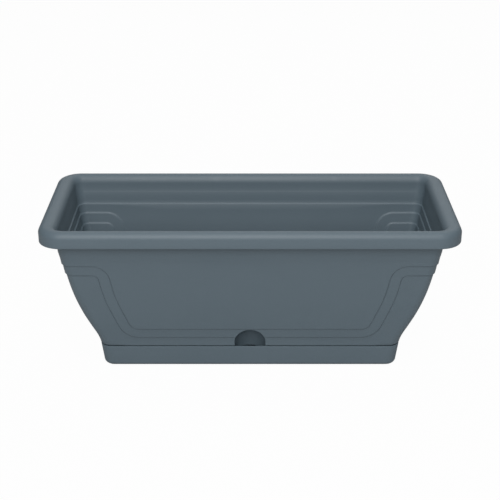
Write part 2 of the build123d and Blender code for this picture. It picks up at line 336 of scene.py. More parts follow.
@dataclass
class Studio:
    """Camera, lamps, floor and the white surroundings."""

    target: tuple[float, float, float] = (0.0, 0.0, 0.1335)
    distance: float = 1.471
    pitch: float = 23.92
    lens: float = 84.0
    world_strength: float = 0.20
    floor_grey: float = 0.60
    front: Lamp = Lamp("front", (-0.15, -1.95, 1.40), 1.2, 31.0)
    high: Lamp = Lamp("high", (0.0, -1.0, 2.30), 1.0, 15.0)
    rear: Lamp = Lamp("rear", (0.25, 1.15, 1.45), 2.2, 12.0)

    def camera(self) -> None:
        """Places the camera."""
        data = bpy.data.cameras.new("camera")
        data.lens = self.lens
        data.sensor_width = 36.0
        camera = bpy.data.objects.new("camera", data)
        pitch = math.radians(self.pitch)
        back = Vector((0.0, -math.cos(pitch), math.sin(pitch)))
        camera.location = Vector(self.target) + back * self.distance
        camera.rotation_euler = (math.pi / 2 - pitch, 0.0, 0.0)
        bpy.context.scene.collection.objects.link(camera)
        bpy.context.scene.camera = camera

    def light(self, lamp: Lamp) -> None:
        """Hangs a lamp so that it faces the planter.

        Args:
            lamp: The lamp.
        """
        data = bpy.data.lights.new(lamp.name, "AREA")
        data.size = lamp.side
        data.energy = lamp.power
        hung = bpy.data.objects.new(lamp.name, data)
        hung.location = lamp.place
        aim = Vector(self.target) - Vector(lamp.place)
        hung.rotation_euler = aim.to_track_quat("-Z", "Y").to_euler()
        bpy.context.scene.collection.objects.link(hung)

    def world(self) -> None:
        """Sets a plain white world that lights softly and shows as white."""
        world = bpy.data.worlds.new("studio")
        bpy.context.scene.world = world
        world.use_nodes = True
        graph = Graph(world.node_tree)
        seen = graph.node("ShaderNodeLightPath", output="Is Camera Ray")
        white: Colour = (1.0, 1.0, 1.0)
        soft = graph.node("ShaderNodeBackground", None, {"Color": white, "Strength": self.world_strength})
        plain = graph.node("ShaderNodeBackground", None, {"Color": white, "Strength": 1.0})
        both = graph.node("ShaderNodeMixShader", None, {0: seen, 1: soft, 2: plain})
        graph.node("ShaderNodeOutputWorld", None, {"Surface": both})

    def floor(self) -> None:
        """Lays a pale floor that reads as white and keeps a soft shadow."""
        graph = Finish("studio_floor")
        seen = graph.node("ShaderNodeLightPath", output="Is Camera Ray")
        pale, worn = (self.floor_grey,) * 3, (self.floor_grey - 0.02,) * 3
        paint = graph.mix(graph.noise(3.0, 2.0), pale, worn)
        matt = graph.node("ShaderNodeBsdfDiffuse", None, {"Color": paint})
        glow = graph.node("ShaderNodeEmission", None, {"Color": (1.0, 1.0, 1.0), "Strength": 1.0})
        both = graph.node("ShaderNodeMixShader", None, {0: seen * 0.975, 1: matt, 2: glow})
        graph.node("ShaderNodeOutputMaterial", None, {"Surface": both})
        mesh = bpy.data.meshes.new("floor")
        reach = 6.0
        corners = [(-reach, -reach, 0.0), (reach, -reach, 0.0), (reach, reach, 0.0), (-reach, reach, 0.0)]
        mesh.from_pydata(corners, [], [(0, 1, 2, 3)])
        mesh.materials.append(graph.material)
        floor = bpy.data.objects.new("floor", mesh)
        bpy.context.scene.collection.objects.link(floor)

    def build(self) -> None:
        """Sets up everything but the planter."""
        self.camera()
        self.world()
        self.floor()
        for lamp in (self.front, self.high, self.rear):
            self.light(lamp)
        bpy.context.scene.view_settings.view_transform = "Standard"


def evaluated_mesh(item: bpy.types.Object) -> bpy.types.Mesh:
    """A plain mesh of an object with its modifiers applied."""
    graph = bpy.context.evaluated_depsgraph_get()
    return bpy.data.meshes.new_from_object(item.evaluated_get(graph), depsgraph=graph)


def bake(item: bpy.types.Object) -> bpy.types.Object:
    """Replaces an object's mesh with its evaluated one and removes its modifiers.

    Args:
        item: The object.

    Returns:
        The same object.
    """
    mesh = evaluated_mesh(item)
    item.modifiers.clear()
    item.data = mesh
    mesh.name = item.name
    return item


def new_object(name: str, mesh: bpy.types.Mesh) -> bpy.types.Object:
    """Links a new object with that mesh into the scene."""
    made = bpy.data.objects.new(name, mesh)
    bpy.context.scene.collection.objects.link(made)
    return made


def remove(item: bpy.types.Object) -> None:
    """Deletes a helper object."""
    bpy.data.objects.remove(item)


def face_outwards(mesh: bpy.types.Mesh) -> None:
    """Makes a closed mesh's faces point outwards."""
    work = bmesh.new()
    work.from_mesh(mesh)
    bmesh.ops.recalc_face_normals(work, faces=work.faces)
    work.to_mesh(mesh)
    work.free()


def dress(item: bpy.types.Object, material: bpy.types.Material | None) -> None:
    """Gives every face of a piece the same finish."""
    item.data.materials.clear()
    item.data.materials.append(material)
    item.data.polygons.foreach_set("material_index", [0] * len(item.data.polygons))


def shade(item: bpy.types.Object, angle: float = 50.0) -> None:
    """Shades an object smooth, with edges sharper than the angle in degrees left crisp."""
    item.data.shade_smooth()
    item.data.set_sharp_from_angle(angle=math.radians(angle))


def combine(base: bpy.types.Object, join: Join, tool: bpy.types.Object, keep: bool = False) -> None:
    """Adds, cuts or intersects one closed solid with another.

    Args:
        base: The solid that is changed.
        join: What is done to it.
        tool: The other solid.
        keep: Whether the other solid is wanted afterwards.
    """
    step = base.modifiers.new(join.name, "BOOLEAN")
    step.operation = join.value
    step.solver = "MANIFOLD"
    step.object = tool
    bake(base)
    if not keep:
        remove(tool)


def remap(item: bpy.types.Object, axes: tuple[int, int, int], signs: Sequence[float] = (1, 1, 1)) -> None:
    """Lays a solid along other axes.

    Args:
        item: The solid.
        axes: For each new coordinate, which old one it takes.
        signs: What each new coordinate is multiplied by.
    """
    mesh = item.data
    points = np.empty(len(mesh.vertices) * 3, np.float32)
    mesh.vertices.foreach_get("co", points)
    points = points.reshape(-1, 3)[:, axes] * np.array(signs, np.float32)
    mesh.vertices.foreach_set("co", points.ravel())
    mesh.update()
    face_outwards(mesh)


def move(item: bpy.types.Object, x: float = 0.0, y: float = 0.0, z: float = 0.0) -> bpy.types.Object:
    """Moves a mesh inside its object, in millimetres, and returns the object."""
    for vertex in item.data.vertices:
        vertex.co += Vector((x, y, z)) * MM
    return item


class NodeTool:
    """A geometry node tree with named inputs that makes one mesh each time it runs."""

    def __init__(self, name: str, sockets: dict[str, str]) -> None:
        """Starts the tree.

        Args:
            name: The tree's name.
            sockets: Each input's name and socket type.
        """
        self.name = name
        self.tree = bpy.data.node_groups.new(name, "GeometryNodeTree")
        face = self.tree.interface
        face.new_socket(name="Geometry", in_out="OUTPUT", socket_type="NodeSocketGeometry")
        for label, kind in {**sockets, "Material": "NodeSocketMaterial"}.items():
            face.new_socket(name=label, in_out="INPUT", socket_type=kind)
        self.graph = Graph(self.tree)

    def given(self, label: str) -> Value:
        """One of the tree's named inputs."""
        return self.graph.node("NodeGroupInput", output=label)

    def geometry_of(self, label: str) -> Value:
        """The geometry of the object given under that name."""
        return self.graph.node("GeometryNodeObjectInfo", None, {"Object": self.given(label)}, "Geometry")

    def close(self, geometry: Value) -> None:
        """Ends the tree in real geometry with its material."""
        whole = self.graph.node("GeometryNodeRealizeInstances", None, {"Geometry": geometry})
        smooth = self.graph.node("GeometryNodeSetShadeSmooth", None, {"Geometry": whole})
        facts = {"Geometry": smooth, "Material": self.given("Material")}
        dressed = self.graph.node("GeometryNodeSetMaterial", None, facts)
        self.graph.node("NodeGroupOutput", None, {0: dressed})

    def run(self, name: str, values: dict[str, Any]) -> bpy.types.Object:
        """Makes one mesh with the tree.

        Args:
            name: The new object's name.
            values: What each named input is set to.

        Returns:
            The new object, a plain mesh that faces outwards.
        """
        made = new_object(name, bpy.data.meshes.new(name))
        step = made.modifiers.new(self.name, "NODES")
        step.node_group = self.tree
        for item in self.tree.interface.items_tree:
            if item.in_out == "INPUT" and item.name in values:
                step[item.identifier] = values[item.name]
        bake(made)
        dress(made, values["Material"])
        face_outwards(made.data)
        return made


@dataclass(frozen=True)
class Section:
    """One level of a loft: a rounded rectangle in plan, or a circle where all three sizes are equal."""

    half_length: float
    half_depth: float
    radius: float
    z: float


def disc(radius: float, z: float) -> Section:
    """A round section."""
    return Section(radius, radius, radius, z)


class Loft(NodeTool):
    """Lofts a closed solid through rounded rectangles stacked along Z."""

    def __init__(self) -> None:
        """Builds the tree."""
        super().__init__("loft_sections", {"Sections": "NodeSocketObject", "Corner Steps": "NodeSocketInt"})
        graph = self.graph
        sections = self.geometry_of("Sections")
        rows = graph.node(
            "GeometryNodeAttributeDomainSize", {"component": "MESH"}, {"Geometry": sections}, "Point Count"
        )
        steps = self.given("Corner Steps")
        per_corner = steps + 1.0
        sizes = {"Size X": 1.0, "Size Y": 1.0, "Vertices X": per_corner * 4.0 + 1.0, "Vertices Y": rows}
        grid = graph.node("GeometryNodeMeshGrid", None, sizes, "Mesh")
        index = graph.node("GeometryNodeInputIndex")
        column = ((index + 0.5) / rows).floor()
        row = index - column * rows
        corner = ((column + 0.5) / per_corner).floor()
        turn = (corner + (column - corner * per_corner) / steps) * (math.pi / 2)
        middle = (corner + 0.5) * (math.pi / 2)
        sample = {"Geometry": sections, "Index": row}
        size = graph.node(
            "GeometryNodeSampleIndex",
            {"data_type": "FLOAT_VECTOR"},
            {**sample, "Value": graph.node("GeometryNodeInputPosition")},
        )
        round_size = graph.node("GeometryNodeInputNamedAttribute", None, {"Name": "radius"}, "Attribute")
        radius = graph.node("GeometryNodeSampleIndex", {"data_type": "FLOAT"}, {**sample, "Value": round_size})
        half_length, half_depth, height = (
            graph.node("ShaderNodeSeparateXYZ", None, {"Vector": size}, axis) for axis in "XYZ"
        )
        x = graph.node("ShaderNodeMath", {"operation": "SIGN"}, {0: middle.maths("COSINE", middle)})
        y = graph.node("ShaderNodeMath", {"operation": "SIGN"}, {0: middle.maths("SINE", middle)})
        x = x * (half_length - radius) + radius * turn.maths("COSINE", turn)
        y = y * (half_depth - radius) + radius * turn.maths("SINE", turn)
        place = graph.node("ShaderNodeCombineXYZ", None, {"X": x, "Y": y, "Z": height})
        shaped = graph.node("GeometryNodeSetPosition", None, {"Geometry": grid, "Position": place})
        closed = graph.node("GeometryNodeMergeByDistance", None, {"Geometry": shaped, "Distance": 1e-6})
        self.close(closed)

    def solid(
        self, name: str, sections: Sequence[Section], steps: int = 8, material: Any = None, ring: bool = False
    ) -> bpy.types.Object:
        """Makes one closed solid.

        Args:
            name: Its name.
            sections: Its levels, from one cap to the other.
            steps: Segments in each corner.
            material: Its finish.
            ring: Whether the last level joins the first, as on a tube, instead of each being capped.

        Returns:
            The solid.
        """
        if ring:
            levels = [*sections, sections[0]]
        else:
            ends = [Section(0.0, 0.0, 0.0, level.z) for level in (sections[0], sections[-1])]
            levels = [ends[0], *sections, ends[1]]
        mesh = bpy.data.meshes.new("levels")
        mesh.from_pydata([(s.half_length * MM, s.half_depth * MM, s.z * MM) for s in levels], [], [])
        mesh.attributes.new("radius", "FLOAT", "POINT").data.foreach_set(
            "value", [s.radius * MM for s in levels]
        )
        guide = new_object("levels", mesh)
        made = self.run(name, {"Sections": guide, "Corner Steps": steps, "Material": material})
        remove(guide)
        return made


class Copies(NodeTool):
    """Repeats one solid at a set of places, each with its own turn about Z."""

    def __init__(self) -> None:
        """Builds the tree."""
        super().__init__("repeat_solid", {"Places": "NodeSocketObject", "Solid": "NodeSocketObject"})
        graph = self.graph
        turn = graph.node("GeometryNodeInputNamedAttribute", None, {"Name": "turn"}, "Attribute")
        turned = graph.node("ShaderNodeCombineXYZ", None, {"Z": turn})
        facts = {
            "Points": self.geometry_of("Places"),
            "Instance": self.geometry_of("Solid"),
            "Rotation": turned,
        }
        self.close(graph.node("GeometryNodeInstanceOnPoints", None, facts))

    def at(
        self, name: str, solid: bpy.types.Object, places: Sequence[tuple[float, float]], turns: Sequence[float] = ()
    ) -> bpy.types.Object:
        """Repeats a solid, which is used up.

        Args:
            name: The new object's name.
            solid: The solid.
            places: X and Y of each copy.
            turns: Each copy's turn in degrees, or nothing.

        Returns:
            All the copies in one object.
        """
        mesh = bpy.data.meshes.new("places")
        mesh.from_pydata([(x * MM, y * MM, 0.0) for x, y in places], [], [])
        angles = [math.radians(turn) for turn in turns] or [0.0] * len(places)
        mesh.attributes.new("turn", "FLOAT", "POINT").data.foreach_set("value", angles)
        guide = new_object("places", mesh)
        finish = solid.data.materials[0]
        made = self.run(name, {"Places": guide, "Solid": solid, "Material": finish})
        remove(guide)
        remove(solid)
        return made


@dataclass(frozen=True)
class Bend:
    """A corner of a path, its round and how finely the path is divided there and before it."""

    x: float
    y: float
    radius: float
    steps: int
    lead: int


def rounded_path(
    start: tuple[float, float], bends: Sequence[Bend], end: tuple[float, float], last: int
) -> tuple[np.ndarray, np.ndarray, list[int]]:
    """A path of straight runs and arcs.

    Args:
        start: Its first point.
        bends: Its corners.
        end: Its last point.
        last: Steps in the last run.

    Returns:
        Its points, the unit normals on its left, and the index of each run's and arc's end.
    """
    here = np.array(start, float)
    corners = [np.array((bend.x, bend.y), float) for bend in bends] + [np.array(end, float)]
    points, normals, marks = [here], [], []
    for bend, corner, after in zip(bends, corners, corners[1:]):
        heading = (corner - points[-1]) / np.linalg.norm(corner - points[-1])
        leaving = (after - corner) / np.linalg.norm(after - corner)
        normal = np.array((-heading[1], heading[0]))
        cross = heading[0] * leaving[1] - heading[1] * leaving[0]
        side = 1.0 if cross > 0 else -1.0
        turn = math.acos(max(-1.0, min(1.0, float(heading @ leaving))))
        begin = corner - heading * bend.radius * math.tan(turn / 2)
        if not normals:
            normals.append(normal)
        origin = points[-1]
        for step in range(1, bend.lead + 1):
            points.append(origin + (begin - origin) * step / bend.lead)
            normals.append(normal)
        marks.append(len(points) - 1)
        centre = begin + side * bend.radius * normal
        for step in range(1, bend.steps + 1):
            angle = side * turn * step / bend.steps
            turned = np.array(
                (
                    normal[0] * math.cos(angle) - normal[1] * math.sin(angle),
                    normal[0] * math.sin(angle) + normal[1] * math.cos(angle),
                )
            )
            points.append(centre - side * bend.radius * turned)
            normals.append(turned)
        marks.append(len(points) - 1)
    origin, normal = points[-1], normals[-1]
    for step in range(1, last + 1):
        points.append(origin + (corners[-1] - origin) * step / last)
        normals.append(normal)
    marks.append(len(points) - 1)
    return np.array(points), np.array(normals), marks


def ease(share: np.ndarray) -> np.ndarray:
    """Rises smoothly from 0 to 1."""
    share = np.clip(share, 0.0, 1.0)
    return share * share * (3.0 - 2.0 * share)


@dataclass(frozen=True)
class Ledge:
    """How the wall steps across a line: offsets from the line and shares of the step reached there."""

    offsets: tuple[float, ...]
    shares: tuple[float, ...]
    groove: float = 0.0
    grooved: tuple[float, ...] = ()

    def rows(self, step: float) -> list[tuple[float, float, float]]:
        """Offset, inset and groove share of each row across a step of that size."""
        deep = self.grooved or (0.0,) * len(self.offsets)
        return [(o, s * step + g * self.groove, g) for o, s, g in zip(self.offsets, self.shares, deep)]


@dataclass
class Trough:
    """The planting trough: rolled rim, stepped walls, floor, legs, skirt and watering port."""

    length: float
    depth: float
    height: float
    seam: float
    plastic: bpy.types.Material
    loft: Loft
    copies: Copies
    wall: float = 2.4
    floor: float = 2.5
    corner: float = 14.0
    foot_corner: float = 18.5
    curve: tuple[tuple[float, float, float], ...] = (
        (0.0, 18.3, 12.9),
        (0.132, 19.6, 14.4),
        (0.295, 22.0, 16.9),
        (0.443, 25.9, 20.5),
        (0.590, 31.7, 24.6),
        (0.738, 40.3, 29.2),
        (0.844, 48.2, 32.9),
        (0.921, 54.3, 35.7),
        (0.962, 56.8, 37.1),
        (1.0, 58.3, 38.2),
    )
    step_depths: tuple[float, float, float] = (22.4, 38.5, 50.0)
    steps: tuple[float, float, float] = (0.8, 1.3, 1.3)
    border: float = 13.5
    panel_foot: float = 27.0
    panel_margin: float = 57.0
    panel_rounds: tuple[float, float, float] = (13.0, 150.0, 22.0)
    inner_lead: float = 1.2
    long_fade: float = 3.5
    end_fade: float = 12.0
    lip: float = 19.5
    lip_wall: float = 2.4
    rim_corner: float = 29.0
    rim_round: float = 8.0
    rim_top: float = 2.8
    mouth_drop: float = 11.0
    mouth_reach: float = 9.6
    roll: float = 6.0
    roll_depth: float = 13.0
    roll_round: float = 5.0
    foot_round: float = 3.0
    seam_lift: float = 0.7
    seam_lift_length: float = 24.0
    port_top: float = 25.4
    port_radius: float = 19.3
    port_wall: float = 2.2
    port_drop: float = 1.2
    skirt: float = 2.0
    skirt_inset: float = 3.986
    skirt_height: float = 8.0
    corner_steps: int = 12
    end_steps: int = 14

    def __post_init__(self) -> None:
        """Works out the places that the rows share."""
        self.drop = self.height - self.seam
        stations = np.array(self.curve)
        self.stations = stations[:, 0] * self.drop, stations[:, 1], stations[:, 2]
        self.half_length = self.length / 2
        self.half_depth = self.depth / 2
        self.seam_half_length = self.half_length - self.curve[-1][1] - sum(self.steps) - self.steps[-1]
        self.seam_half_depth = self.half_depth - self.curve[-1][2] - sum(self.steps) - self.steps[-1]
        self.lay_out_columns()

    def glide(self, depth: np.ndarray, values: np.ndarray) -> np.ndarray:
        """Interpolates smoothly between the wall curve's stations.

        Args:
            depth: Depths below the rim's top.
            values: The inset at each station.

        Returns:
            The inset at each depth.
        """
        places = self.stations[0]
        slopes = np.gradient(values, places)
        below = np.clip(np.searchsorted(places, depth, side="right") - 1, 0, len(places) - 2)
        span = places[below + 1] - places[below]
        t = np.clip((depth - places[below]) / span, 0.0, 1.0)
        first = (1 + 2 * t) * (1 - t) ** 2 * values[below] + t * (1 - t) ** 2 * span * slopes[below]
        second = t * t * (3 - 2 * t) * values[below + 1] - t * t * (1 - t) * span * slopes[below + 1]
        return first + second

    def insets(self, depth: Any) -> tuple[np.ndarray, np.ndarray]:
        """Insets of the end walls and the long walls from the rim's outline at a depth."""
        depth = np.asarray(depth, float)
        return self.glide(depth, self.stations[1]), self.glide(depth, self.stations[2])

    def panel_side(self, depth: float) -> float:
        """Half the panel's length at a depth, to the border's upper line."""
        return self.half_length - float(self.insets(depth)[0]) - self.panel_margin

    def corner_at(self, depth: Any) -> np.ndarray:
        """Radius of the outermost corner round at a depth, which grows towards the foot."""
        return self.corner + (self.foot_corner - self.corner) * ease(np.asarray(depth) / self.drop)

    def centre_x(self, depth: Any) -> np.ndarray:
        """Where the corner rounds' centres are along X at a depth."""
        return self.half_length - self.insets(depth)[0] - self.corner_at(depth)

    def lay_out_columns(self) -> None:
        """Places the columns of one quarter: half a long wall, a corner and half an end wall."""
        ledge = self.step_depths[-1]
        foot = self.drop - self.panel_foot
        waist = (ledge + foot) / 2
        foot_r, waist_r, top_r = self.panel_rounds
        bends = [
            Bend(self.panel_side(foot), foot, foot_r, 12, 26),
            Bend(self.panel_side(waist), waist, waist_r, 6, 9),
            Bend(self.panel_side(ledge), ledge, top_r, 12, 8),
        ]
        end = (float(self.centre_x(ledge)), ledge)
        line, outward, marks = rounded_path((0.0, foot), bends, end, 9)
        self.line, self.outward = line, outward
        self.long_count = len(line)
        walked = np.concatenate([[0.0], np.cumsum(np.linalg.norm(np.diff(line, axis=0), axis=1))])
        shelf = marks[5]
        line_share = line[:, 0] / self.centre_x(line[:, 1])
        self.top_share = line_share.copy()
        self.top_share[: shelf + 1] = line_share[shelf] * walked[: shelf + 1] / walked[shelf]
        run_share = line[marks[0], 0] / float(self.centre_x(self.drop))
        stops = walked[[0, marks[0], marks[1], marks[4], marks[5], len(line) - 1]]
        self.foot_share = np.interp(walked, stops, [0.0, run_share, 0.885, 0.965, 0.98, 1.0])
        turns = np.linspace(0.0, math.pi / 2, self.corner_steps + 1)[1:]
        fade = 1.0 - np.arange(1, self.end_steps + 1) / self.end_steps
        rest = self.corner_steps + self.end_steps
        self.x_share = np.ones(rest)
        self.y_share = np.concatenate([np.ones(self.long_count + self.corner_steps), fade])
        self.sine = np.concatenate([np.zeros(self.long_count), np.sin(turns), np.ones(self.end_steps)])
        self.cosine = np.concatenate([np.ones(self.long_count), np.cos(turns), np.zeros(self.end_steps)])
        seam_x = float(self.centre_x(self.drop))
        seam_y = self.half_depth - float(self.insets(self.drop)[1]) - self.foot_corner
        away = np.concatenate(
            [(1 - self.foot_share) * seam_x, np.zeros(self.corner_steps), (1 - fade) * seam_y]
        )
        self.lift = ease(1.0 - away / self.seam_lift_length) * self.seam_lift

    def lap(
        self, share: np.ndarray, centre_x: Any, centre_y: Any, radius: Any, z: Any, mark: float = 0.0
    ) -> tuple[np.ndarray, float]:
        """One row round the trough.

        Args:
            share: Where each long wall column stands, from 0 at the middle to 1 at the corner round.
            centre_x: X of the corner round's centre, for all columns or each one.
            centre_y: Y of that centre.
            radius: The corner round's radius.
            z: The height.
            mark: How far the row lies in a groove, from 0 to 1, which also sets how much painted shade it gets.

        Returns:
            The row's points, anticlockwise from the middle of the front, and its mark.
        """
        share = np.concatenate([share, self.x_share])
        x = share * centre_x + self.sine * radius
        y = -(self.y_share * centre_y + self.cosine * radius)
        quarter = np.stack([x, y, np.broadcast_to(z, x.shape)], axis=1)
        back = quarter[::-1][1:] * (1, -1, 1)
        far = quarter[1:] * (-1, -1, 1)
        left = quarter[::-1][1:-1] * (-1, 1, 1)
        return np.concatenate([quarter, back, far, left]), mark

    def wall_lap(
        self, share: np.ndarray, depth: np.ndarray, inset: Any, mark: float = 0.0
    ) -> tuple[np.ndarray, float]:
        """One row on the wall, this far inside its outermost face."""
        end, side = self.insets(depth)
        corner = self.corner_at(depth)
        centre_x = self.half_length - end - corner
        centre_y = self.half_depth - side - corner
        return self.lap(share, centre_x, centre_y, corner - inset, self.height - depth, mark)

    def level_lap(self, depth: float, inset: Any, mark: float = 0.0) -> tuple[np.ndarray, float]:
        """One level row on the wall."""
        everywhere = np.full(self.long_count + self.corner_steps + self.end_steps, depth)
        return self.wall_lap(self.top_share, everywhere, inset, mark)

    def line_place(self, offset: float) -> tuple[np.ndarray, np.ndarray]:
        """Share and depth of each column this far below the panel border's upper line."""
        points = self.line + offset * self.outward
        depth = np.concatenate([points[:, 1], np.full(len(self.x_share), self.step_depths[-1] + offset)])
        return points[:, 0] / self.centre_x(points[:, 1]), depth

    def blend(
        self,
        first: tuple[np.ndarray, np.ndarray],
        last: tuple[np.ndarray, np.ndarray],
        count: int,
        inset: float,
    ) -> list[tuple[np.ndarray, float]]:
        """Rows between two others, neither included.

        Args:
            first: Share and depth of the columns in the row above.
            last: The same in the row below.
            count: How many rows are added.
            inset: How far inside the wall's outermost face they lie.

        Returns:
            The rows.
        """
        rows = []
        for step in range(1, count + 1):
            t = step / (count + 1)
            share = first[0] + (last[0] - first[0]) * t
            rows.append(self.wall_lap(share, first[1] + (last[1] - first[1]) * t, inset))
        return rows

    def face_rows(
        self, inset: float, lead: float, top: float, bottom: np.ndarray, crisp: Ledge, soft: Ledge
    ) -> list[tuple[np.ndarray, float]]:
        """The rows of one face of the wall, from the top down.

        Args:
            inset: How far inside the outer face it lies.
            lead: How much higher its ledges are than the outer face's.
            top: Depth of the first row.
            bottom: Depth of each column in the last row.
            crisp: How it steps along the panel's border.
            soft: How it steps higher up.

        Returns:
            The rows.
        """
        first_depth, second_depth, line_depth = (depth - lead for depth in self.step_depths)
        first_step, second_step, line_step = self.steps
        rows = [self.level_lap(top, inset), self.level_lap((top + first_depth) / 2, inset)]
        spread = self.long_fade + (self.end_fade - self.long_fade) * ease(self.sine * 1.6)
        for offset, reached, _ in soft.rows(1.0):
            wanted = ease((offset / spread + 1.0) / 2.0) if lead else reached
            rows.append(self.level_lap(first_depth + offset, inset + first_step * wanted))
        inset += first_step
        for share in (0.4, 0.7):
            rows.append(self.level_lap(first_depth + (second_depth - first_depth) * share, inset))
        for offset, added, _ in soft.rows(second_step):
            rows.append(self.level_lap(second_depth + offset, inset + added))
        inset += second_step
        above = np.full(len(bottom), second_depth + soft.offsets[-1])
        rows += self.blend((self.top_share, above), self.line_place(crisp.offsets[0] - lead), 12, inset)
        for line in (0.0, self.border):
            for offset, added, groove in crisp.rows(line_step):
                share, depth = self.line_place(line + offset - lead)
                rows.append(self.wall_lap(share, depth, inset + added, groove))
            inset += line_step
            if line == 0.0:
                for between in (0.35, 0.65):
                    share, depth = self.line_place(self.border * between - lead)
                    rows.append(self.wall_lap(share, depth, inset))
        last = self.line_place(self.border + crisp.offsets[-1] - lead)
        rows += self.blend(last, (self.foot_share, bottom), 18, inset)
        rows.append(self.wall_lap(self.foot_share, bottom, inset))
        return rows

    def rim_rows(self) -> list[tuple[np.ndarray, float]]:
        """The rows of the rim, from under the lip, round its outside and top, to the mouth."""
        levels: list[tuple[float, float, float, float]] = []
        end, side = self.curve[0][1:]
        for angle in np.radians(np.linspace(0, 90, 6)):
            out = self.roll - self.roll_round * (1 - math.sin(angle))
            deep = self.roll_depth - self.roll_round * (1 - math.cos(angle))
            levels.append((end - out, side - out, self.corner + out, deep))
        face = (end - self.roll, side - self.roll, self.corner + self.roll)
        levels.append((*face, self.rim_top + 0.6))
        levels.append((face[0] - 0.4, face[1] - 0.2, face[2] + 0.3, self.rim_top + 0.05))
        inner = self.rim_round - self.lip_wall
        for angle in np.radians((75, 60, 45, 30, 15, 0)):
            inset = self.rim_round - inner * math.cos(angle)
            levels.append((inset, inset, self.rim_corner - inset, self.rim_round + 0.4 - inner * math.sin(angle)))
        bead = self.lip_wall / 2
        for angle in np.radians(np.linspace(0, 180, 9)):
            inset = bead + bead * math.cos(angle)
            levels.append((inset, inset, self.rim_corner - inset, self.lip - bead + bead * math.sin(angle)))
        levels.append((0.0, 0.0, self.rim_corner, (self.lip + self.rim_round) / 2))
        for angle in np.radians(np.linspace(0, 90, 13)):
            inset = self.rim_round * (1 - math.cos(angle))
            levels.append((inset, inset, self.rim_corner - inset, self.rim_round * (1 - math.sin(angle))))
        mouth_end, mouth_side = (float(value) + self.wall for value in self.insets(self.mouth_drop))
        mouth_round = self.corner - self.wall
        crest_side = self.rim_round + 0.2
        crest_end = mouth_end - self.mouth_reach
        crest_round = mouth_round + self.mouth_reach
        flat = (crest_end + self.rim_round) / 2
        levels.append((flat, self.rim_round + 0.1, (crest_round + self.rim_corner - self.rim_round) / 2, 0.0))
        for angle in np.radians(np.linspace(0, 90, 13))[:-1]:
            reach = math.sin(angle)
            levels.append(
                (
                    crest_end + (mouth_end - crest_end) * reach,
                    crest_side + (mouth_side - crest_side) * reach,
                    crest_round + (mouth_round - crest_round) * reach,
                    self.mouth_drop * (1 - math.cos(angle)),
                )
            )
        return [
            self.lap(
                self.top_share,
                self.half_length - end_in - radius,
                self.half_depth - side_in - radius,
                radius,
                self.height - deep,
            )
            for end_in, side_in, radius, deep in levels
        ]

    def outer_rows(self) -> list[tuple[np.ndarray, float]]:
        """The outer face, from the roll down to the lower edge, which rises a little at the corners."""
        crisp = Ledge(
            (-1.6, -0.3, 0.0, 0.25, 0.5, 0.8, 1.15, 1.9),
            (0.0, 0.0, 0.12, 0.55, 1.0, 1.0, 1.0, 1.0),
            0.25,
            # The grooved shares also set how much painted shade each row gets in the material.
            (0.0, 0.0, 0.0, 0.0, 0.8, 0.8, 0.1, 0.0),
        )
        soft = Ledge((-7.0, -3.5, 0.0, 3.5, 7.0), (0.0, 0.16, 0.5, 0.84, 1.0))
        bottom = self.drop - self.lift
        rows = self.face_rows(0.0, 0.0, self.roll_depth + 1.0, bottom - 0.5, crisp, soft)
        inset = sum(self.steps) + self.steps[-1]
        for down, inward in ((0.35, 0.15), (0.5, 0.5)):
            rows.append(self.wall_lap(self.foot_share, bottom - 0.5 + down, inset + inward))
        return rows

    def inner_rows(self) -> list[tuple[np.ndarray, float]]:
        """The inner face, from the mouth down to the floor, with a round at its foot."""
        crisp = Ledge((-1.2, -0.2, 0.1, 0.85, 1.15, 2.2), (0.0, 0.0, 0.1, 0.9, 1.0, 1.0))
        soft = Ledge((-0.8, -0.35, 0.0, 0.35, 0.8), (0.0, 0.1, 0.5, 0.9, 1.0))
        bottom = np.full(len(self.y_share), self.drop - self.floor - self.foot_round)
        rows = self.face_rows(self.wall, self.inner_lead, self.mouth_drop, bottom, crisp, soft)
        inset = self.wall + sum(self.steps) + self.steps[-1]
        for angle in np.radians((22.5, 45, 67.5, 90)):
            depth = bottom + self.foot_round * math.sin(angle)
            inward = self.foot_round * (1 - math.cos(angle))
            rows.append(self.wall_lap(self.foot_share, depth, inset + inward))
        return rows

    def shell(self, name: str, rows: Sequence[tuple[np.ndarray, float]]) -> bpy.types.Object:
        """A closed solid through rows, capped at both ends.

        Args:
            name: Its name.
            rows: The rows in order.

        Returns:
            The solid.
        """
        count = len(rows[0][0])
        points = np.concatenate([row for row, _ in rows]) * MM
        faces = [tuple(range(count)), tuple((len(rows) - 1) * count + i for i in range(count))]
        for row in range(len(rows) - 1):
            low, high = row * count, (row + 1) * count
            for i in range(count):
                j = (i + 1) % count
                faces.append((low + i, low + j, high + j, high + i))
        mesh = bpy.data.meshes.new(name)
        mesh.from_pydata(points.tolist(), [], faces)
        # Each row's groove share is stored for the material, which paints shade into the grooves with it.
        marks = np.repeat([mark for _, mark in rows], count).astype(np.float32)
        mesh.attributes.new("sunk", "FLOAT", "POINT").data.foreach_set("value", marks)
        mesh.materials.append(self.plastic)
        face_outwards(mesh)
        return new_object(name, mesh)

    def skirt_sections(self, inset: float, low: float, high: float) -> list[Section]:
        """Two levels of the locating skirt's outline."""
        half_length = self.seam_half_length - self.skirt_inset - inset
        half_depth = self.seam_half_depth - self.skirt_inset - inset
        radius = self.foot_corner - sum(self.steps) - self.steps[-1] - self.skirt_inset - inset
        return [Section(half_length, half_depth, radius, z) for z in (low, high)]

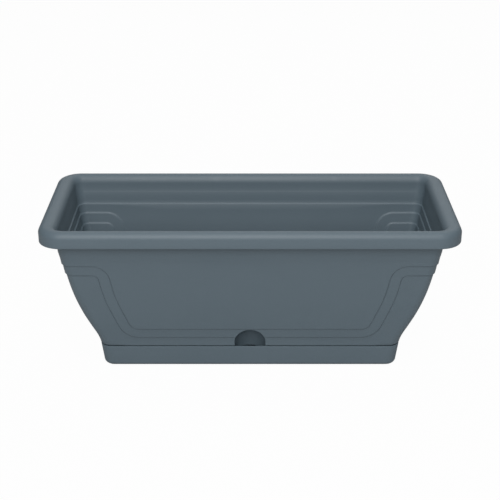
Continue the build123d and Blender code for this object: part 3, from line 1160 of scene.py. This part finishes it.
    def port_solid(self, radius: float, low: float) -> bpy.types.Object:
        """The port's space: an arch through the wall and a domed shaft behind it.

        Args:
            radius: Its radius.
            low: How far down the shaft goes.

        Returns:
            The solid.
        """
        spring = self.seam + self.port_top - self.port_radius
        angles = np.radians(np.linspace(0, 90, 15))[:-1]
        dome = [disc(radius * math.cos(angle), spring + radius * math.sin(angle)) for angle in angles]
        shaft = self.loft.solid("port_space", [disc(radius, low), *dome], 20, self.plastic)
        move(shaft, y=-self.seam_half_depth)
        tall = 40.0
        near, far = self.seam_half_depth, self.half_depth
        arch = self.loft.solid(
            "arch", [Section(radius, tall, radius, near), Section(radius, tall, radius, far)], 20, self.plastic
        )
        remap(arch, (0, 2, 1), (1, -1, 1))
        move(arch, z=spring + radius - tall)
        combine(shaft, Join.ADD, arch)
        return shaft

    def build(self, cups: Sequence[float]) -> bpy.types.Object:
        """Makes the trough.

        Args:
            cups: X of each wicking cup.

        Returns:
            The trough, one closed solid.
        """
        outer = self.outer_rows()
        body = self.shell("trough_moulding", [*reversed(outer), *self.rim_rows(), *self.inner_rows()])
        skirt_low = self.seam - self.skirt_height
        into_floor = self.seam + 0.9
        ring = self.skirt_sections(0.0, skirt_low, into_floor)
        ring += reversed(self.skirt_sections(self.skirt, skirt_low, into_floor))
        combine(body, Join.ADD, self.loft.solid("skirt", ring, 8, self.plastic, ring=True))

        envelope = self.shell("envelope", outer)
        scoop_low = skirt_low - self.port_drop
        filled = self.loft.solid("filled", self.skirt_sections(0.0, scoop_low, into_floor), 8, self.plastic)
        combine(envelope, Join.ADD, filled)
        scoop = self.port_solid(self.port_radius + self.port_wall, scoop_low)
        combine(scoop, Join.COMMON, envelope)
        combine(body, Join.ADD, scoop)
        combine(body, Join.CUT, self.port_solid(self.port_radius, scoop_low - 4.0))
        self.fit_floor(body, cups)
        shade(body)
        return body

    def fit_floor(self, body: bpy.types.Object, cups: Sequence[float]) -> None:
        """Adds the legs and cuts the cup holes, leg bores and air slots.

        Args:
            body: The trough.
            cups: X of each wicking cup.
        """
        stand, leg_r, bore_r = 4.0, 7.0, 4.8
        floor_top = self.seam + self.floor
        leg_x = (self.seam_half_length - 16.0, 45.0)
        legs = [(sx * x, sy * (self.seam_half_depth - 18.1)) for x in leg_x for sx in (-1, 1) for sy in (-1, 1)]
        post = self.loft.solid(
            "leg",
            [disc(leg_r - 0.6, stand), disc(leg_r, stand + 0.6), disc(leg_r, self.seam + 0.9)],
            6,
            self.plastic,
        )
        combine(body, Join.ADD, self.copies.at("legs", post, legs))
        bore = self.loft.solid("bore", [disc(bore_r, stand + 2.4), disc(bore_r, floor_top + 2.0)], 6, self.plastic)
        combine(body, Join.CUT, self.copies.at("bores", bore, legs))
        low, high = self.seam - 2.0, floor_top + 2.0
        hole = self.loft.solid("hole", [disc(22.5, low), disc(22.5, high)], 14, self.plastic)
        combine(body, Join.CUT, self.copies.at("holes", hole, [(x, 0.0) for x in cups]))
        outer_cup = max(cups)
        rows = [side * (outer_cup - offset) for side in (-1, 1) for offset in (-21.0, 23.0, 47.0)]
        slots = [(x, y) for x in rows for y in (22.1 - self.seam_half_depth, self.seam_half_depth - 22.1)]
        slot = self.loft.solid("slot", [Section(7.0, 1.5, 1.49, low), Section(7.0, 1.5, 1.49, high)], 6, self.plastic)
        combine(body, Join.CUT, self.copies.at("slots", slot, slots))


@dataclass
class Tray:
    """The water tray: tapered wall, rounded lower edge, foot band, floor and ribs."""

    half_length: float
    half_depth: float
    top: float
    plastic: bpy.types.Material
    loft: Loft
    copies: Copies
    corner: float = 13.8
    wall: float = 2.4
    taper: float = 3.4
    foot_round: float = 6.5
    foot_band: float = 8.0
    band_height: float = 1.5
    floor_top: float = 4.0
    inner_round: float = 3.0
    edge_round: float = 0.7
    rib: float = 2.0
    rib_height: float = 2.0

    def level(self, inset: float, radius: float, z: float) -> Section:
        """A section this far inside the tray's upper edge."""
        return Section(self.half_length - inset, self.half_depth - inset, radius, z)

    def lean(self, z: float) -> float:
        """How far the wall has tapered in at a height."""
        return self.taper * (1 - z / self.top)

    def sections(self) -> list[Section]:
        """The tray's levels, from the middle of its underside out, up, over the edge and down inside."""
        foot = self.lean(self.foot_round)
        band = self.taper + self.foot_round + self.foot_band
        levels = [
            self.level(band, self.corner, self.band_height),
            self.level(band - 0.2, self.corner, 0.3),
            self.level(band - 0.6, self.corner - 0.4, 0.0),
        ]
        for angle in np.radians(np.linspace(90, 0, 9)):
            inward = self.foot_round * (1 - math.cos(angle))
            z = self.foot_round * (1 - math.sin(angle))
            levels.append(self.level(foot + inward, self.corner - inward, z))
        for z in (12.0, 18.0, 24.0, self.top - self.edge_round):
            levels.append(self.level(self.lean(z), self.corner, z))
        for angle in np.radians((30, 60, 90)):
            inset = self.edge_round * (1 - math.cos(angle))
            levels.append(self.level(inset, self.corner, self.top - self.edge_round * (1 - math.sin(angle))))
        for angle in np.radians((90, 60, 30, 0)):
            inset = self.wall - self.edge_round * (1 - math.cos(angle))
            radius = self.corner - self.wall
            levels.append(self.level(inset, radius, self.top - self.edge_round * (1 - math.sin(angle))))
        radius = self.corner - self.wall
        for z in (18.0, self.floor_top + self.inner_round):
            levels.append(self.level(self.wall + self.lean(z), radius, z))
        inset = self.wall + self.lean(self.floor_top)
        for angle in np.radians((22.5, 45, 67.5, 90)):
            inward = self.inner_round * (1 - math.cos(angle))
            z = self.floor_top + self.inner_round * (1 - math.sin(angle))
            levels.append(self.level(inset + inward, radius - inward, z))
        return levels

    def build(self, cups: Sequence[float]) -> bpy.types.Object:
        """Makes the tray.

        Args:
            cups: X of each wicking cup. The ribs run between them.

        Returns:
            The tray, one closed solid.
        """
        tray = self.loft.solid("tray_moulding", self.sections(), 12, self.plastic)
        reach = self.half_depth - self.taper - self.wall + 0.6
        half, top = self.rib / 2, self.floor_top + self.rib_height
        levels = [Section(half, reach, 0.4, self.floor_top - 1.0), Section(half, reach, 0.4, top - 0.3)]
        levels.append(Section(half - 0.3, reach - 0.3, 0.4, top))
        bar = self.loft.solid("rib", levels, 3, self.plastic)
        middle = (cups[2] + cups[3]) / 2
        ribs = self.copies.at("ribs", bar, [(-middle, 0.0), (0.0, 0.0), (middle, 0.0)])
        combine(tray, Join.ADD, ribs)
        shade(tray, 40.0)
        return tray


@dataclass
class WickingCup:
    """A perforated cup that hangs by its flange in the trough's floor."""

    bottom: float
    top: float
    plastic: bpy.types.Material
    loft: Loft
    copies: Copies
    flange: float = 1.6
    flange_radius: float = 26.0
    top_radius: float = 22.0
    foot_radius: float = 17.5
    wall: float = 1.6
    slot: float = 3.0
    slot_count: int = 8
    slot_margin: float = 4.0
    floor: float = 2.5
    drain: float = 1.8
    drain_circle: float = 11.0

    def build(self) -> bpy.types.Object:
        """Makes one cup on the Z axis.

        Returns:
            The cup, one closed solid.
        """
        seat = self.top - self.flange
        rise = seat - self.bottom
        taper = (self.top_radius - self.foot_radius) / rise
        inner_foot = self.foot_radius - self.wall + taper * self.wall
        inner_top = self.top_radius - self.wall + taper * self.flange
        levels = [
            disc(self.foot_radius - 0.8, self.bottom),
            disc(self.foot_radius - 0.2, self.bottom + 0.25),
            disc(self.foot_radius + 0.1, self.bottom + 0.9),
            disc(self.top_radius, seat),
            disc(self.flange_radius - 0.3, seat),
            disc(self.flange_radius, seat + 0.3),
            disc(self.flange_radius, self.top - 0.5),
            disc(self.flange_radius - 0.15, self.top - 0.15),
            disc(self.flange_radius - 0.5, self.top),
            disc(inner_top + 0.5, self.top),
            disc(inner_top + 0.15, self.top - 0.15),
            disc(inner_top, self.top - 0.5),
            disc(inner_foot + 0.15, self.bottom + self.wall + 0.9),
            disc(inner_foot - 0.2, self.bottom + self.wall + 0.25),
            disc(inner_foot - 0.9, self.bottom + self.wall),
        ]
        cup = self.loft.solid("cup", levels, 16, self.plastic)
        low = self.bottom + self.wall + self.slot_margin
        high = seat - self.floor - self.slot_margin
        half_height = (high - low) / 2
        inside, outside = self.foot_radius - 2 * self.wall, self.top_radius + 2 * self.wall
        round_size = self.slot / 2 - 0.01
        levels = [Section(half_height, self.slot / 2, round_size, z) for z in (inside - 2.0, outside)]
        cutter = self.loft.solid("cutter", levels, 5, self.plastic)
        remap(cutter, (2, 1, 0))
        move(cutter, z=(low + high) / 2)
        turns = [(turn + 0.5) * 360 / self.slot_count for turn in range(self.slot_count)]
        combine(cup, Join.CUT, self.copies.at("cutters", cutter, [(0.0, 0.0)] * self.slot_count, turns))
        drill = [disc(self.drain, self.bottom - 2.0), disc(self.drain, self.bottom + self.wall + 2.0)]
        ring = [math.radians(turn * 360 / self.slot_count) for turn in range(self.slot_count)]
        places = [(self.drain_circle * math.cos(a), self.drain_circle * math.sin(a)) for a in ring]
        drains = self.copies.at("drains", self.loft.solid("drill", drill, 4, self.plastic), [*places, (0.0, 0.0)])
        combine(cup, Join.CUT, drains)
        shade(cup, 40.0)
        return cup


@dataclass
class FeltWick:
    """A felt strip folded into a U in its cup, with a tail laid each way on the floor."""

    cup: WickingCup
    felt: bpy.types.Material
    tail_tip: float
    width: float = 16.0
    thickness: float = 1.6
    clearance: float = 0.3
    bend: float = 2.0
    ripple: float = 0.11
    across: int = 9

    def centre_line(self) -> np.ndarray:
        """The strip's middle in Y and Z, from one tail's tip to the other's."""
        lift = self.thickness / 2 + self.clearance
        low = self.cup.bottom + self.cup.wall + lift
        over = self.cup.top + lift
        down = self.cup.top - self.cup.flange + lift
        foot = self.cup.foot_radius - self.cup.wall - 2.4 * self.thickness
        neck = self.cup.top_radius - self.cup.wall - 2.4 * self.thickness
        edge = self.cup.flange_radius + 2 * self.thickness
        landing = edge + 2 * self.thickness
        half = [(foot, low, 8), (neck, over, 10), (edge, over, 8), (landing, down, 3)]
        left = [Bend(-y, z, self.bend, 6, lead) for y, z, lead in reversed(half)]
        right = [Bend(y, z, self.bend, 6, lead) for y, z, lead in half]
        points, _, _ = rounded_path((-self.tail_tip, down), [*left, *right], (self.tail_tip, down), 8)
        return points

    def build(self, name: str, x: float, seed: int) -> tuple[bpy.types.Object, float]:
        """Makes one wick.

        Args:
            name: Its name.
            x: Where its cup is.
            seed: Seed of its small unevenness.

        Returns:
            The wick and the length of the strip it was cut from, in metres.
        """
        line = self.centre_line()
        chance = np.random.default_rng(seed)
        walked = np.concatenate([[0.0], np.cumsum(np.linalg.norm(np.diff(line, axis=0), axis=1))])
        shares = np.linspace(-1.0, 1.0, self.across)
        phase = chance.uniform(0, 2 * math.pi, 4)
        points = []
        for along, (y, z) in zip(walked, line):
            edge = 1.0 + 0.018 * math.sin(along * 0.21 + phase[0]) + 0.012 * math.sin(along * 0.63 + phase[1])
            for share in shares:
                lift = self.ripple * math.sin(along * 0.35 + share * 1.7 + phase[2])
                shift = 0.12 * math.sin(along * 0.11 + phase[3])
                points.append((x + shift + share * edge * self.width / 2, y, z + lift))
        count = self.across
        faces = [
            (row * count + i, row * count + i + 1, (row + 1) * count + i + 1, (row + 1) * count + i)
            for row in range(len(line) - 1)
            for i in range(count - 1)
        ]
        mesh = bpy.data.meshes.new(name)
        mesh.from_pydata((np.array(points) * MM).tolist(), [], faces)
        mesh.materials.append(self.felt)
        wick = new_object(name, mesh)
        thick = wick.modifiers.new("thickness", "SOLIDIFY")
        thick.thickness = (self.thickness - 0.1) * MM
        thick.offset = 0.0
        soft = wick.modifiers.new("soft_edges", "BEVEL")
        soft.width = 0.35 * MM
        soft.segments = 2
        soft.limit_method = "ANGLE"
        soft.angle_limit = math.radians(60)
        bake(wick)
        face_outwards(mesh := wick.data)
        mesh.shade_smooth()
        return wick, float(walked[-1]) * MM


def report(item: bpy.types.Object) -> None:
    """Logs a finished piece and its size."""
    LOG.info("%s: %d faces", item.name, len(item.data.polygons))


def main() -> None:
    """Loads the frame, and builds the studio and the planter."""
    logging.basicConfig(level=logging.INFO, format="%(name)s: %(message)s")
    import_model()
    Studio().build()
    plastic = MouldedPlastic().build()
    felt = NeedledFelt().build()
    loft, copies = Loft(), Copies()
    cup_boxes = [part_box(f"wick_cup_{number}") for number in (1, 2, 3, 4)]
    cups = [float(low[0] + high[0]) / 2 / MM for low, high in cup_boxes]
    tray_low, tray_high = (np.array(corner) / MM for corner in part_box("water_tray"))
    body_low, body_high = (np.array(corner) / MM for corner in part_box("trough_body"))
    seam_gap = 1.2

    length, depth, height = body_high[0] - body_low[0], body_high[1] - body_low[1], body_high[2]
    trough_plan = Trough(length, depth, height, tray_high[2] + seam_gap, plastic, loft, copies)
    trough = trough_plan.build(cups)
    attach(trough, Body.TROUGH.value)
    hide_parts("trough_body")
    report(trough)

    tray = Tray(tray_high[0], tray_high[1], tray_high[2], plastic, loft, copies).build(cups)
    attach(tray, Body.TRAY.value)
    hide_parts("water_tray")
    report(tray)

    low, high = cup_boxes[0]
    cup_plan = WickingCup(float(low[2]) / MM, float(high[2]) / MM, plastic, loft, copies)
    pattern = cup_plan.build()
    wick_plan = FeltWick(cup_plan, felt, float(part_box("felt_wick_1")[1][1]) / MM)
    for number, x in enumerate(cups, start=1):
        body = Body.CUP.value.format(number=number)
        cup = new_object(f"perforated_cup_{number}", pattern.data.copy())
        move(cup, x=x)
        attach(cup, body)
        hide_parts(f"wick_cup_{number}")
        report(cup)
        wick, strip = wick_plan.build(f"wick_strip_{number}", x, seed=number)
        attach(wick, body)
        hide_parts(f"felt_wick_{number}")
        wick_plan.width * MM
        report(wick)
    remove(pattern)

    bpy.context.view_layer.update()


if __name__ == "__main__":
    main()
